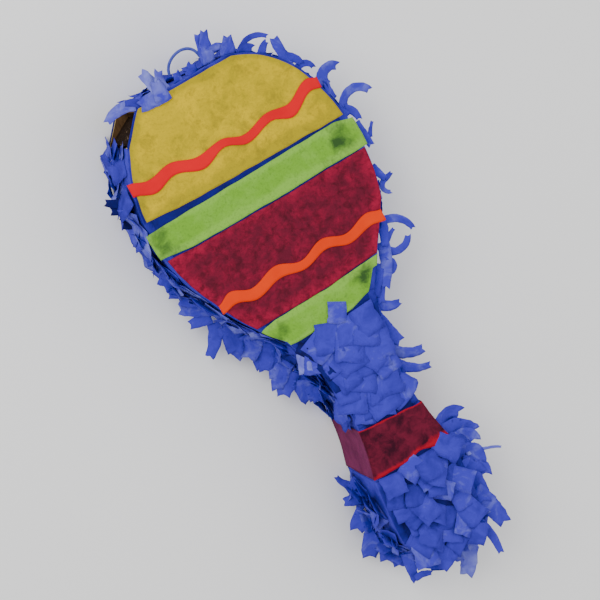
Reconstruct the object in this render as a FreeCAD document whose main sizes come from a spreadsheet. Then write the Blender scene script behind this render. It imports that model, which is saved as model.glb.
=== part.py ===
import FreeCAD, Part
import math
import os
import re

import Sketcher
from FreeCAD import Rotation, Vector

# A maraca pinata lying on its back: a flat box of cardboard with a round head and a long
# handle, dressed in tissue petals and coloured paper. Millimetres. +Y runs from the handle's
# end to the top of the head, +X to the right of the front face and +Z out of the front face.
# The origin is the middle of the rectangle that the whole piece covers on the table.

DIMENSIONS = {
    # Outline of the box: the right side downwards, then the left side.
    "half_length": 271,
    "crown_right": 30,
    "shoulder_x": 86,
    "shoulder_y": 225,
    "shoulder_bend": 92,
    "cheek_x": 98,
    "cheek_y": 80,
    "cheek_bend": 204,
    "throat_x": 48,
    "throat_y": 5,
    "waist_x": 34,
    "waist_y": 50,
    "grip_x": 45,
    "grip_y": 165,
    "grip_bend": 324,
    "knob_x": 43,
    "knob_y": 236,
    "knob_bend": 500,
    "heel_x": 26,
    "heel_y": 262,
    "heel_bend": 61,
    "left_cheek_x": 97,
    "left_cheek_y": 78,
    "left_cheek_bend": 176,
    "left_jaw_bend": 250,
    "left_throat_x": 50,
    "left_waist_x": 32.5,
    "left_waist_y": 46,
    "left_grip_x": 39,
    "left_grip_y": 161,
    "left_grip_bend": 244,
    "left_knob_x": 44,
    "left_knob_bend": 400,
    # The fill opening is the straight upper left corner of the head.
    "mouth_low_x": 96,
    "mouth_low_y": 243,
    "mouth_high_x": 71.5,
    # Cardboard shell, from the table up.
    "cover_thickness": 1.7,
    "tape_thickness": 0.3,
    "board": 3,
    "wall_height": 76,
    "tape_width": 10,
    "joint_tape_width": 36,
    "joint_tape_height": 46,
    "joint_tape_foot": 15,
    # Fill flap: cut from thinner board and folded along its lower left edge.
    "flap_board": 2,
    "fold_bend": 1.05,
    "flap_length": 31.5,
    "flap_margin": 0.8,
    "hinge_inset": 2,
    "wall_end_gap": 2.5,
    "flap_pushed_in": 20,
    # Hanging loop at the top of the head.
    "cord_diameter": 3,
    "cord_hole": 4.2,
    "cord_left_x": -16,
    "cord_right_x": 21,
    "cord_z": 24,
    "knot_diameter": 7.5,
    "knot_height": 5,
    "knot_rounding": 1.2,
    "plate_left": -31,
    "plate_width": 64,
    "plate_height": 30,
    # Paper on the front; a slope is the rise over each 100 mm to the right.
    "tissue_thickness": 0.4,
    "paper_thickness": 0.5,
    "yellow_low": 169.6,
    "upper_green_low": 131.8,
    "upper_green_high": 165,
    "red_low": 31,
    "red_high": 130.8,
    "lower_green_low": 0,
    "lower_green_high": 30.4,
    "handle_band_low": -163,
    "handle_band_low_slope": -4.7,
    "handle_band_high": -114,
    "handle_band_high_slope": -9.3,
    "handle_band_thickness": 0.8,
    # Foam waves glued across the head.
    "wave_width": 11.5,
    "wave_thickness": 1.5,
    "wave_swing": 4.3,
    "half_wave": 26.6,
    "red_wave_left": -112,
    "red_wave_y": 201.5,
    "orange_wave_left": -95,
    "orange_wave_y": 66,
    # Tissue petals on the front and tissue fringe around the walls.
    "petal_size": 28,
    "petal_foot": 6,
    "petal_step": 17,
    "petal_column": 29,
    "neck_petal_lift": 4,
    "neck_petals_top": -3,
    "knob_petal_lift": 9,
    "knob_petals_top": -168,
    "fringe_reach": 30,
    "fringe_half_width": 136,
    "fringe_row_overrun": 20,
    "neck_fringe_low": -108,
    "knob_fringe_high": -172,
    "fin_step": 11,
    "fin_thickness": 0.8,
    "slot_margin": 5,
    "far": 400,
}

doc = FreeCAD.newDocument("maraca_pinata")
sheet = doc.addObject("Spreadsheet::Sheet", "Dims")
for row, (alias, value) in enumerate(DIMENSIONS.items(), start=1):
    sheet.set(f"A{row}", alias)
    sheet.set(f"B{row}", str(value))
    sheet.setAlias(f"B{row}", alias)
doc.recompute()


def from_sheet(formula):
    """The formula with the name of each dimension pointing at its cell."""

    def cell(word):
        return f"Dims.{word[0]}" if word[0] in DIMENSIONS else word[0]

    return re.sub("[a-z_]+", cell, formula)


def bind(item, path, formula):
    item.setExpression(path, from_sheet(formula))


def value_of(formula):
    return float(sheet.evalExpression(from_sheet(formula)))


# Heights of the layers, as formulas of the sheet.
BACK_PANEL = "(cover_thickness + tape_thickness)"
WALL_FOOT = f"({BACK_PANEL} + board)"
WALL_HEAD = f"({WALL_FOOT} + wall_height)"
FRONT_FACE = f"({WALL_HEAD} + board)"
TISSUE = f"({FRONT_FACE} + tape_thickness)"
PAPER = f"({TISSUE} + tissue_thickness)"
WAVES = f"({PAPER} + paper_thickness)"


def fix_point(sketch, edge, end, x, y):
    """Hold one end of an edge at a place worked out from the sheet."""
    for kind, formula in (("DistanceX", x), ("DistanceY", y)):
        index = sketch.addConstraint(Sketcher.Constraint(kind, -1, 1, edge, end, value_of(formula)))
        sketch.renameConstraint(index, f"{kind}_{edge}")
        bind(sketch, f"Constraints.{kind}_{edge}", formula)


def profile(sketch, corners, bends):
    """Draw a closed outline: corners as pairs of formulas, and a bend for each edge.

    A bend is None for a straight edge, or a radius formula and +1 where the edge bulges to
    the right of its direction, -1 where it bulges to the left.
    """
    points = [Vector(value_of(x), value_of(y), 0) for x, y in corners]
    ends = []
    for index, bend in enumerate(bends):
        start = points[index]
        stop = points[(index + 1) % len(points)]
        if bend is None:
            sketch.addGeometry(Part.LineSegment(start, stop))
            ends.append((1, 2))
            continue
        radius, side = bend
        chord = stop - start
        bulge_way = Vector(chord.y, -chord.x, 0).normalize() * side
        reach = value_of(radius)
        bulge = reach - math.sqrt(reach**2 - chord.Length**2 / 4)
        sketch.addGeometry(Part.Arc(start, (start + stop) * 0.5 + bulge_way * bulge, stop))
        ends.append((1, 2) if side > 0 else (2, 1))
        number = sketch.addConstraint(Sketcher.Constraint("Radius", index, reach))
        sketch.renameConstraint(number, f"Radius_{index}")
        bind(sketch, f"Constraints.Radius_{index}", radius)
    for index, (x, y) in enumerate(corners):
        before = index - 1 if index else len(corners) - 1
        joined = (before, ends[before][1], index, ends[index][0])
        sketch.addConstraint(Sketcher.Constraint("Coincident", *joined))
        fix_point(sketch, index, ends[index][0], x, y)
    return sketch


def free_sketch(name):
    return doc.addObject("Sketcher::SketchObject", name)


def grown(name, outline, distance):
    """The outline moved outwards, or inwards for a negative distance."""
    offset = doc.addObject("Part::Offset2D", name)
    offset.Source = outline
    offset.Join = "Arc"
    bind(offset, "Value", distance)
    return offset


def slab(name, outline, low, high):
    """A solid of the outline between two heights."""
    solid = doc.addObject("Part::Extrusion", name)
    solid.Base = outline
    solid.DirMode = "Custom"
    solid.Dir = Vector(0, 0, 1)
    solid.Solid = True
    bind(solid, "LengthFwd", f"{high} - {low}")
    bind(solid, "Placement.Base.z", low)
    return solid


def block(name, x, y, z):
    """A box from its low and high ends along each axis."""
    solid = doc.addObject("Part::Box", name)
    for axis, side, (low, high) in zip("xyz", ("Length", "Width", "Height"), (x, y, z)):
        bind(solid, side, f"{high} - ({low})")
        bind(solid, f"Placement.Base.{axis}", low)
    return solid


def combine(kind, name, base, tool):
    result = doc.addObject(f"Part::{kind}", name)
    result.Base = base
    result.Tool = tool
    return result


def together(name, pieces):
    group = doc.addObject("Part::Compound", name)
    group.Links = pieces
    return group


# Outlines.

MOUTH_RUN = "(mouth_low_x - mouth_high_x)"
MOUTH_RISE = "(half_length - mouth_low_y)"
MOUTH_LENGTH = f"sqrt({MOUTH_RUN}^2 + {MOUTH_RISE}^2)"
HEEL_DROP = "(half_length - heel_y)"

right_side = [
    ("crown_right", "half_length"),
    ("shoulder_x", "shoulder_y"),
    ("cheek_x", "cheek_y"),
    ("throat_x", "throat_y"),
    ("waist_x", "-waist_y"),
    ("grip_x", "-grip_y"),
    ("knob_x", "-knob_y"),
    ("heel_x", "-heel_y"),
]
right_bends = [
    ("shoulder_bend", -1),
    ("cheek_bend", -1),
    None,
    None,
    ("grip_bend", 1),
    ("knob_bend", -1),
    ("heel_bend", -1),
    (f"(heel_x^2 + {HEEL_DROP}^2) / (2 * {HEEL_DROP})", -1),
]
left_side = [
    ("-heel_x", "-heel_y"),
    ("-left_knob_x", "-knob_y"),
    ("-left_grip_x", "-left_grip_y"),
    ("-left_waist_x", "-left_waist_y"),
    ("-left_throat_x", "throat_y"),
    ("-left_cheek_x", "left_cheek_y"),
    ("-mouth_low_x", "mouth_low_y"),
    ("-mouth_high_x", "half_length"),
]
left_bends = [
    ("heel_bend", -1),
    ("left_knob_bend", -1),
    ("left_grip_bend", 1),
    None,
    ("left_jaw_bend", -1),
    ("left_cheek_bend", -1),
    None,
    None,
]
outline = profile(free_sketch("outline"), right_side + left_side, right_bends + left_bends)
inner_outline = grown("inner_outline", outline, "-board")
tape_outline = grown("tape_outline", outline, "tape_thickness")
tape_inner = grown("tape_inner", outline, "-tape_width")
joint_tape_inner = grown("joint_tape_inner", outline, "-board - tape_thickness")
band_outline = grown("band_outline", outline, "tape_thickness + handle_band_thickness")
fringe_outline = grown("fringe_outline", outline, "fringe_reach")


# Fill opening: a slanting block through the wall, as wide as the straight corner.

def mouth_block(name, outward, inward, low, high):
    solid = doc.addObject("Part::Box", name)
    bind(solid, "Length", MOUTH_LENGTH)
    bind(solid, "Width", f"{outward} + {inward}")
    bind(solid, "Height", f"{high} - ({low})")
    bind(solid, "Placement.Rotation.Angle", f"atan2({MOUTH_RISE}; {MOUTH_RUN})")
    bind(solid, "Placement.Base.x", f"-mouth_low_x + {inward} * {MOUTH_RISE} / {MOUTH_LENGTH}")
    bind(solid, "Placement.Base.y", f"mouth_low_y - {inward} * {MOUTH_RUN} / {MOUTH_LENGTH}")
    bind(solid, "Placement.Base.z", low)
    return solid


# Flat covers and panels.

back_cover = slab("back_cover", outline, "0", "cover_thickness")
back_panel = slab("back_panel", outline, BACK_PANEL, WALL_FOOT)
front_panel = slab("front_panel", outline, WALL_HEAD, FRONT_FACE)
front_tissue = slab("front_tissue", outline, TISSUE, PAPER)


# Walls: one ring of board, cut into the strips that it is taped together from.

def ring(name, outer, inner, low, high):
    """The solid between two outlines, between two heights."""
    whole = slab(f"{name}_outer", outer, low, high)
    return combine("Cut", name, whole, slab(f"{name}_inner", inner, low, high))


WALL_SPAN = (WALL_FOOT, WALL_HEAD)
LEFT = ("-far", "0")
RIGHT = ("0", "far")
BOTH = ("-far", "far")
wall_ring = ring("wall_ring", outline, inner_outline, *WALL_SPAN)
WALL_STRIPS = {
    "head_wall_top": (("-mouth_high_x", "far"), ("shoulder_y", "far")),
    "head_wall_right": (RIGHT, ("throat_y", "shoulder_y")),
    "head_wall_left": (LEFT, ("throat_y", "mouth_low_y - wall_end_gap")),
    "handle_wall_right": (RIGHT, ("-knob_y", "throat_y")),
    "handle_wall_left": (LEFT, ("-knob_y", "throat_y")),
    "handle_wall_end": (BOTH, ("-far", "-knob_y")),
}
walls = {}
for name, (x, y) in WALL_STRIPS.items():
    zone = block(f"{name}_zone", x, y, WALL_SPAN)
    walls[name] = combine("Common", f"{name}_strip", wall_ring, zone)


def cord_hole(name, x):
    """A hole along Y through the crown wall and the plate behind it."""
    hole = doc.addObject("Part::Cylinder", name)
    bind(hole, "Radius", "cord_hole / 2")
    bind(hole, "Height", "4 * board")
    hole.Placement.Rotation = Rotation(Vector(1, 0, 0), -90)
    bind(hole, "Placement.Base.x", x)
    bind(hole, "Placement.Base.y", "half_length - 3 * board")
    bind(hole, "Placement.Base.z", "cord_z")
    return hole


cord_holes = together(
    "cord_holes", [cord_hole("hole_left", "cord_left_x"), cord_hole("hole_right", "cord_right_x")]
)
walls["head_wall_top"] = combine("Cut", "crown_wall", walls["head_wall_top"], cord_holes)

# Strips of tape inside, across each joint between two wall strips.
joint_tape_ring = ring("joint_tape_ring", inner_outline, joint_tape_inner, *WALL_SPAN)
JOINTS = {
    "shoulder": (RIGHT, "shoulder_y"),
    "throat_right": (RIGHT, "throat_y"),
    "throat_left": (LEFT, "throat_y"),
    "knob_right": (RIGHT, "-knob_y"),
    "knob_left": (LEFT, "-knob_y"),
}
tapes = []
for name, (x, y) in JOINTS.items():
    reach = (f"{y} - joint_tape_width / 2", f"{y} + joint_tape_width / 2")
    foot = f"{WALL_FOOT} + joint_tape_foot"
    height = (foot, f"{foot} + joint_tape_height")
    zone = block(f"zone_{name}", x, reach, height)
    tapes.append(combine("Common", f"joint_tape_{name}", joint_tape_ring, zone))
wall_joint_tapes = together("wall_joint_tapes", tapes)


# Seam tape: an L section around the front edge and one around the back edge.

def seam_tape(name, low, high, core):
    """A band around the edge, less the box itself and less the opening."""
    band = ring(f"{name}_band", tape_outline, tape_inner, low, high)
    shell = combine("Cut", f"{name}_shell", band, slab(f"{name}_core", outline, *core))
    gap = mouth_block(f"{name}_gap", "board", "board", *WALL_SPAN)
    return combine("Cut", name, shell, gap)


FRONT_TAPE_FOOT = f"({FRONT_FACE} - tape_width)"
front_seam_tape = seam_tape("front_seam_tape", FRONT_TAPE_FOOT, TISSUE, ("0", FRONT_FACE))
back_seam_tape = seam_tape("back_seam_tape", "cover_thickness", "tape_width", (BACK_PANEL, "far"))


# Fill flap: a strip of board with a rounded edge that turns about the fold.

def new_body(name):
    body = doc.addObject("PartDesign::Body", name)
    body.Label = name
    return body


def body_sketch(body, name, role="XY_Plane"):
    sketch = body.newObject("Sketcher::SketchObject", name)
    plane = next(item for item in body.Origin.OriginFeatures if item.Role == role)
    sketch.AttachmentSupport = [(plane, "")]
    sketch.MapMode = "FlatFace"
    return sketch


def pad(body, name, sketch, length):
    feature = body.newObject("PartDesign::Pad", name)
    feature.Profile = sketch
    bind(feature, "Length", length)
    body.Tip = feature
    return feature


fill_flap = new_body("fill_flap")
flap_sketch = profile(
    body_sketch(fill_flap, "flap_profile"),
    [("0", "-flap_board / 2"), ("flap_length", "-flap_board / 2")]
    + [("flap_length", "flap_board / 2"), ("0", "flap_board / 2")],
    [None, None, None, ("fold_bend", 1)],
)
pad(fill_flap, "flap_pad", flap_sketch, "wall_height - 2 * flap_margin")
ACROSS = f"hinge_inset * {MOUTH_RUN} / {MOUTH_LENGTH} + board / 2 * {MOUTH_RISE} / {MOUTH_LENGTH}"
ALONG = f"hinge_inset * {MOUTH_RISE} / {MOUTH_LENGTH} - board / 2 * {MOUTH_RUN} / {MOUTH_LENGTH}"
bind(fill_flap, "Placement.Base.x", f"-mouth_low_x + {ACROSS}")
bind(fill_flap, "Placement.Base.y", f"mouth_low_y + {ALONG}")
bind(fill_flap, "Placement.Base.z", f"{WALL_FOOT} + flap_margin")
bind(fill_flap, "Placement.Rotation.Angle", f"atan2({MOUTH_RISE}; {MOUTH_RUN}) - flap_pushed_in * 1 deg")


# Hanging loop: a plate behind the crown wall, the cord, and a knot on each end of it.

plate_zone = block(
    "plate_zone",
    ("plate_left", "plate_left + plate_width"),
    ("half_length - 3 * board", "half_length"),
    ("cord_z - plate_height / 2", "cord_z + plate_height / 2"),
)
plate_ring = ring("plate_ring", inner_outline, grown("plate_inner", outline, "-2 * board"), *WALL_SPAN)
plate_blank = combine("Common", "plate_blank", plate_ring, plate_zone)
hanger_plate = combine("Cut", "hanger_plate", plate_blank, cord_holes)


def knot(name, x):
    """A tied end: a squat barrel with rounded rims, under the plate."""
    barrel = doc.addObject("Part::Cylinder", f"{name}_barrel")
    bind(barrel, "Radius", "knot_diameter / 2")
    bind(barrel, "Height", "knot_height")
    barrel.Placement.Rotation = Rotation(Vector(1, 0, 0), 90)
    bind(barrel, "Placement.Base.x", x)
    bind(barrel, "Placement.Base.y", "half_length - 2 * board")
    bind(barrel, "Placement.Base.z", "cord_z")
    doc.recompute()
    rounded = doc.addObject("Part::Fillet", name)
    rounded.Base = barrel
    rims = [i for i, edge in enumerate(barrel.Shape.Edges, 1) if isinstance(edge.Curve, Part.Circle)]
    rounding = value_of("knot_rounding")
    rounded.Edges = [(rim, rounding, rounding) for rim in rims]
    return rounded


cord_knot_left = knot("cord_knot_left", "cord_left_x")
cord_knot_right = knot("cord_knot_right", "cord_right_x")

CORD_ROUTE = [
    Vector(-16, 265, 24),
    Vector(-15.8, 277, 24.1),
    Vector(-12, 285.2, 24.5),
    Vector(-5, 290.4, 25.1),
    Vector(3.5, 292.8, 25.4),
    Vector(12, 291.4, 25.1),
    Vector(18.2, 286.2, 24.5),
    Vector(20.8, 277.5, 24.1),
    Vector(21, 265, 24),
]


def rounded_path(points):
    """Straight runs along the points, joined by the largest tangent arcs that fit."""
    edges = []
    radii = []
    last = points[0]
    for before, corner, after in zip(points, points[1:], points[2:]):
        arriving = corner - before
        leaving = after - corner
        setback = 0.45 * min(arriving.Length, leaving.Length)
        half_turn = arriving.getAngle(leaving) / 2
        radius = setback / math.tan(half_turn)
        arriving.normalize()
        leaving.normalize()
        start = corner - arriving * setback
        stop = corner + leaving * setback
        inward = (leaving - arriving).normalize()
        middle = corner + inward * (radius / math.cos(half_turn) - radius)
        edges.append(Part.LineSegment(last, start).toShape())
        edges.append(Part.Arc(start, middle, stop).toShape())
        radii.append(radius)
        last = stop
    edges.append(Part.LineSegment(last, points[-1]).toShape())
    return Part.Wire(edges), radii


def cord(name, points):
    """A round cord along a path; both ends are cut square."""
    path, radii = rounded_path(points)
    diameter = value_of("cord_diameter")
    rim = Part.Wire(Part.Circle(points[0], points[1] - points[0], diameter / 2).toShape())
    tube = path.makePipeShell([rim], True, False)
    expected = math.pi * diameter**2 / 4 * path.Length
    print(f"{name}: length {path.Length:.1f} mm, volume {tube.Volume / expected:.4f} of section times length")
    print(f"{name}: radii", [round(radius, 1) for radius in radii])
    solid = doc.addObject("Part::Feature", name)
    solid.Shape = tube
    return solid


hanging_cord = cord("hanging_cord", CORD_ROUTE)


# Coloured paper on the front, trimmed to the edge of the box.

def stripe_outline(name, low, low_slope, high, high_slope):
    """A band right across, far wider than the box; slopes are the rise over 100 mm."""
    corners = [
        ("-far", f"{low} - {low_slope} * far / 100"),
        ("far", f"{low} + {low_slope} * far / 100"),
        ("far", f"{high} + {high_slope} * far / 100"),
        ("-far", f"{high} - {high_slope} * far / 100"),
    ]
    return profile(free_sketch(name), corners, [None] * 4)


def paper_stripe(name, low, high):
    stripe = stripe_outline(f"{name}_outline", low, "0", high, "0")
    across = slab(f"{name}_across", stripe, PAPER, WAVES)
    return combine("Common", name, across, slab(f"{name}_face", outline, PAPER, WAVES))


STRIPES = {
    "yellow_panel": ("yellow_low", "far"),
    "upper_green_band": ("upper_green_low", "upper_green_high"),
    "red_panel": ("red_low", "red_high"),
    "lower_green_band": ("lower_green_low", "lower_green_high"),
}
stripes = {name: paper_stripe(name, *edges) for name, edges in STRIPES.items()}


# The handle band wraps the front and both side walls of the handle.

band_wrap = combine(
    "Cut",
    "band_wrap",
    slab("band_block", band_outline, BACK_PANEL, f"{PAPER} + handle_band_thickness"),
    slab("band_core", tape_outline, "0", PAPER),
)
BAND_EDGES = ("handle_band_low", "handle_band_low_slope", "handle_band_high", "handle_band_high_slope")
band_zone = stripe_outline("band_zone", *BAND_EDGES)
handle_band = combine("Common", "handle_band", band_wrap, slab("band_zone_solid", band_zone, "0", "far"))


# Foam waves: equal arcs, up and down in turn, along both edges of a strip.

def wave(name, left, middle, halves, first_side):
    """A wavy strip of the given number of half waves, starting with a dip or a crest."""
    bend = "(half_wave^2 / 4 + wave_swing^2) / (2 * wave_swing)"
    xs = [f"{left} + {index} * half_wave" for index in range(halves + 1)]
    lower = [(x, f"{middle} - wave_width / 2") for x in xs]
    upper = [(x, f"{middle} + wave_width / 2") for x in reversed(xs)]
    sides = [first_side * (-1) ** index for index in range(halves)]
    lower_bends = [(bend, side) for side in sides]
    upper_bends = [(bend, -side) for side in reversed(sides)]
    sketch = profile(free_sketch(f"{name}_outline"), lower + upper, [*lower_bends, None, *upper_bends, None])
    return slab(name, sketch, WAVES, f"{WAVES} + wave_thickness")


red_wave = wave("red_wave", "red_wave_left", "red_wave_y", 8, 1)
orange_wave = wave("orange_wave", "orange_wave_left", "orange_wave_y", 7, -1)


# Front petals: squares of tissue glued along their upper edge, their lower edge standing off.

def petal_section(name, lift):
    """The side view of one petal: a flat glued foot, then a straight lifted part."""
    slope_run = "(petal_size - petal_foot)"
    corners = [
        ("0", "0"),
        ("petal_foot", "0"),
        (f"petal_foot + {slope_run}", lift),
        (f"petal_foot + {slope_run}", f"{lift} + tissue_thickness"),
        ("petal_foot", "tissue_thickness"),
        ("0", "tissue_thickness"),
    ]
    return profile(free_sketch(name), corners, [None] * 6)


def petal_rows(name, lift, top, columns, rows):
    """Overlapping rows of petals, the first row at the top."""
    section = petal_section(f"{name}_section", lift)
    petals = []
    for row in range(rows):
        for column in range(columns):
            petal = doc.addObject("Part::Extrusion", f"{name}_{row}_{column}")
            petal.Base = section
            petal.DirMode = "Custom"
            petal.Dir = Vector(0, 0, 1)
            petal.Solid = True
            bind(petal, "LengthFwd", "petal_size")
            petal.Placement.Rotation = Rotation(Vector(0, -1, 0), Vector(0, 0, 1), Vector(-1, 0, 0), "XYZ")
            shift = f"({column} - {(columns - 1) / 2}) * petal_column + petal_size / 2"
            bind(petal, "Placement.Base.x", shift)
            bind(petal, "Placement.Base.y", f"{top} - {row} * petal_step")
            bind(petal, "Placement.Base.z", PAPER)
            petals.append(petal)
    return together(name, petals)


neck_petals = petal_rows("neck_petals", "neck_petal_lift", "neck_petals_top", 2, 5)
knob_petals = petal_rows("knob_petals", "knob_petal_lift", "knob_petals_top", 3, 5)


# Fringe: the tissue that stands out from the walls, as rows of plain fins around the box.

FRINGE_SPAN = (BACK_PANEL, FRONT_FACE)
fringe_ring = ring("fringe_ring", fringe_outline, tape_outline, *FRINGE_SPAN)
envelope = block("fringe_envelope", ("-fringe_half_width", "fringe_half_width"), BOTH, FRINGE_SPAN)
trimmed_ring = combine("Common", "fringe_trimmed", fringe_ring, envelope)
loop_slot = block(
    "loop_slot",
    ("cord_left_x - slot_margin", "cord_right_x + slot_margin"),
    ("half_length - board", "far"),
    ("cord_z - slot_margin", "cord_z + slot_margin + 1"),
)
fringe_gap = mouth_block("fringe_gap", "far", "board", "0", "far")
fringe_openings = together("fringe_openings", [fringe_gap, loop_slot])
fringe_stock = combine("Cut", "fringe_stock", trimmed_ring, fringe_openings)


def fin_row(name, along, span, reach):
    """Upright fins in a row along one axis, reaching across the other, trimmed to the fringe."""
    low, high = span
    count = int((value_of(high) - value_of(low)) / value_of("fin_step"))
    fins = []
    for index in range(count):
        place = f"{low} + ({index} + 0.5) * fin_step"
        slice_span = (place, f"{place} + fin_thickness")
        x, y = (slice_span, reach) if along == "x" else (reach, slice_span)
        fins.append(block(f"{name}_fin_{index}", x, y, FRINGE_SPAN))
    return combine("Common", name, fringe_stock, together(f"{name}_fins", fins))


OVER_THE_TOP = ("shoulder_y", "far")
UNDER_THE_KNOB = ("-far", "-knob_y")
FRINGE_ROWS = {
    "crown_fringe": ("x", ("-mouth_high_x", "shoulder_x + fringe_row_overrun"), OVER_THE_TOP),
    "head_right_fringe": ("y", ("throat_y", "shoulder_y"), RIGHT),
    "head_left_fringe": ("y", ("throat_y", "half_length"), ("-far", "-mouth_high_x")),
    "neck_right_fringe": ("y", ("neck_fringe_low", "throat_y"), RIGHT),
    "neck_left_fringe": ("y", ("neck_fringe_low", "throat_y"), LEFT),
    "knob_right_fringe": ("y", ("-knob_y", "knob_fringe_high"), RIGHT),
    "knob_left_fringe": ("y", ("-knob_y", "knob_fringe_high"), LEFT),
    "knob_end_fringe": ("x", ("-knob_x - fringe_row_overrun", "knob_x + fringe_row_overrun"), UNDER_THE_KNOB),
}
fringes = {name: fin_row(name, *row) for name, row in FRINGE_ROWS.items()}


# Every sub-part, under the name of its file.

SUB_PARTS = {
    "back_cover": back_cover,
    "back_panel": back_panel,
    "front_panel": front_panel,
    **walls,
    "wall_joint_tapes": wall_joint_tapes,
    "front_seam_tape": front_seam_tape,
    "back_seam_tape": back_seam_tape,
    "fill_flap": fill_flap,
    "hanger_plate": hanger_plate,
    "hanging_cord": hanging_cord,
    "cord_knot_left": cord_knot_left,
    "cord_knot_right": cord_knot_right,
    "front_tissue": front_tissue,
    **stripes,
    "red_wave": red_wave,
    "orange_wave": orange_wave,
    "handle_band": handle_band,
    "neck_petals": neck_petals,
    "knob_petals": knob_petals,
    **fringes,
}
for label, item in SUB_PARTS.items():
    item.Label = label
doc.recompute()

for item in doc.Objects:
    if {"Invalid", "Error"} & set(item.State):
        raise RuntimeError(f"{item.Name} failed: {item.State}")
for item in SUB_PARTS.values():
    if item.Shape.isNull() or not item.Shape.isValid():
        raise RuntimeError(f"{item.Label} has no valid shape")

os.makedirs("parts", exist_ok=True)
for item in SUB_PARTS.values():
    item.Shape.exportStep(f"parts/{item.Label}.step")
    print(f"{item.Label}: {len(item.Shape.Solids)} solids, {item.Shape.Volume / 1000:.1f} cm3")
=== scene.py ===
import math
import random

import bpy
from mathutils import Matrix, Vector, kdtree, noise


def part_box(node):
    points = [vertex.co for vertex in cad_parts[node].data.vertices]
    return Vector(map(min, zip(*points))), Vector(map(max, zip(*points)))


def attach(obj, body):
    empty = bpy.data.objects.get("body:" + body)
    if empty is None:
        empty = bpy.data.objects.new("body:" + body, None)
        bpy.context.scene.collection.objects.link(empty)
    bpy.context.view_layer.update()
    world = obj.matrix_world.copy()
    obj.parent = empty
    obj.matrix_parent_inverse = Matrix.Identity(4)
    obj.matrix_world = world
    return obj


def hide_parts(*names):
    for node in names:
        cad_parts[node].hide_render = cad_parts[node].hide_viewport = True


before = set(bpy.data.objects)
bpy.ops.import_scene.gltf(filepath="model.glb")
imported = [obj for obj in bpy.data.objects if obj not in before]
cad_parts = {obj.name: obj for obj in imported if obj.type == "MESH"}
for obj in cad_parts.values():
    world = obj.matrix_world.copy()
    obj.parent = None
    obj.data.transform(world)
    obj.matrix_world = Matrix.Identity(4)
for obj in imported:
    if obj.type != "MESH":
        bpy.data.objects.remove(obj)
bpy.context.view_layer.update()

# A maraca pinata lies on its back: +Y to the top of the head, +Z out of the decorated front.
# The mesh code below works in millimetres and in the frame of the CAD model; the meshes are
# stored in metres.

MM = 0.001
RANDOM = random.Random(22)

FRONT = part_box("front_tissue")[1][2] / MM
WALL_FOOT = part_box("back_panel")[0][2] / MM
PAPER_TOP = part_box("yellow_panel")[1][2] / MM
HALF_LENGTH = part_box("front_panel")[1][1] / MM

# Thicknesses of the modelled sheets.
PAPER = 0.25
TISSUE = 0.22
STREAMER = 0.3
FOAM = 1.3
COVER = 0.8


# The outline of the box, read from the front panel.

def outline_points(node):
    """The upper edge loop of a flat CAD node as points in order, in millimetres."""
    mesh = bpy.data.objects[node].data
    top = max(v.co.z for v in mesh.vertices)
    flat = {}
    for face in mesh.polygons:
        if face.normal.z > 0.9:
            for key in face.edge_keys:
                flat[key] = flat.get(key, 0) + 1
    links = {}
    for (a, b), count in flat.items():
        if count == 1 and abs(mesh.vertices[a].co.z - top) < 1e-5:
            links.setdefault(a, []).append(b)
            links.setdefault(b, []).append(a)
    start = next(iter(links))
    loop = [start]
    before = None
    while True:
        here = loop[-1]
        after = next(i for i in links[here] if i != before)
        if after == start:
            break
        before = here
        loop.append(after)
    points = [Vector(mesh.vertices[i].co.xy) / MM for i in loop]
    area = sum(a.x * b.y - b.x * a.y for a, b in zip(points, points[1:] + points[:1]))
    return points if area > 0 else points[::-1]


def evenly(points, step):
    """The closed loop of points again, at even steps along it."""
    ring = points + points[:1]
    lengths = [(b - a).length for a, b in zip(ring, ring[1:])]
    count = round(sum(lengths) / step)
    gap = sum(lengths) / count
    found = []
    index = 0
    done = 0.0
    for k in range(count):
        while done + lengths[index] < k * gap:
            done += lengths[index]
            index += 1
        found.append(ring[index].lerp(ring[index + 1], (k * gap - done) / lengths[index]))
    return found


OUTLINE = evenly(outline_points("front_panel"), 3.0)
COUNT = len(OUTLINE)


def outward(index, reach=2):
    """The outward normal of the outline, smoothed over a few points."""
    along = OUTLINE[(index + reach) % COUNT] - OUTLINE[(index - reach) % COUNT]
    return Vector((along.y, -along.x)).normalized()


def edge_x(y, side):
    """Where the outline crosses a height, on the right (+1) or the left (-1)."""
    found = []
    for a, b in zip(OUTLINE, OUTLINE[1:] + OUTLINE[:1]):
        if (a.y - y) * (b.y - y) <= 0 and a.y != b.y:
            found.append(a.x + (b.x - a.x) * (y - a.y) / (b.y - a.y))
    if not found:
        near = [p.x for p in OUTLINE if abs(p.y - y) < 4] or [0]
        found = [min(near), max(near)]
    return max(found) if side > 0 else min(found)


OUTLINE_TREE = kdtree.KDTree(COUNT)
for number, spot in enumerate(OUTLINE):
    OUTLINE_TREE.insert(spot.to_3d(), number)
OUTLINE_TREE.balance()


def clear_of_box(point, gap=1.7):
    """The point moved out of the box, if it is beside the walls, and never below the table."""
    z = max(point.z, 1.2)
    if z > FRONT + 0.2:
        return Vector((point.x, point.y, z))
    _, number, _ = OUTLINE_TREE.find((point.x, point.y, 0))
    away = outward(number)
    depth = (point.xy - OUTLINE[number]).dot(away)
    push = max(0.0, gap - depth)
    return Vector((point.x + away.x * push, point.y + away.y * push, z))


def nearest(x, y):
    """The index of the outline point nearest to a place."""
    return min(range(COUNT), key=lambda i: (OUTLINE[i] - Vector((x, y))).length)


# Sheets: every paper and tissue piece is one or more thin closed skins.

def rough(point, size, seed=0.0):
    """Smooth noise from -1 to 1, with features of about the given size."""
    return noise.noise(Vector((point[0] / size + seed, point[1] / size - seed, point[2] / size + 2 * seed)))


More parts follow.
